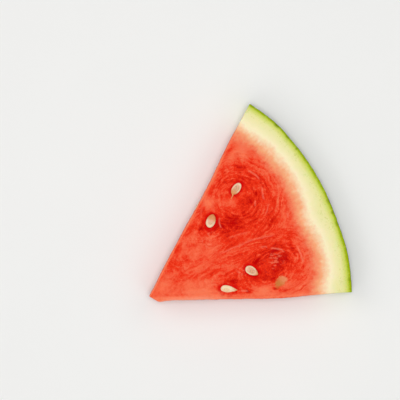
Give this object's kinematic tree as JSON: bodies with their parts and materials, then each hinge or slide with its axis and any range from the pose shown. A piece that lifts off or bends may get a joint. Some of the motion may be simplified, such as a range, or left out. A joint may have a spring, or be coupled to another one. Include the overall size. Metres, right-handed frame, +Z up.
{
  "type": "watermelon wedge",
  "caption": "Sixth of a round watermelon slice, lying flat, with red flesh, pale rind, green skin and loose-fitting seeds in its cut faces.",
  "frame": {"origin": "on the surface that the wedge lies on, under the middle of its bounding box", "axes": "+X from the blunt tip towards the rind, along the middle of the wedge; +Y towards the longer upright cut; +Z up, out of the upper cut face"},
  "size_m": [0.1134, 0.1184, 0.021],
  "materials": {
    "flesh_and_rind": "wet cut melon flesh, fading through a cream rind to a thin green skin with darker stripes",
    "seed": "moist cream seed coat with a paler rim"
  },
  "bodies": {
    "root": {"wedge": "flesh_and_rind", "seed_upper_1": "seed", "seed_upper_2": "seed", "seed_upper_3": "seed", "seed_upper_4": "seed", "seed_upper_5": "seed", "seed_under_1": "seed", "seed_under_2": "seed", "seed_under_3": "seed", "seed_under_4": "seed", "seed_long_side_1": "seed", "seed_long_side_2": "seed", "seed_short_side_1": "seed", "seed_short_side_2": "seed"}
  },
  "joints": []
}
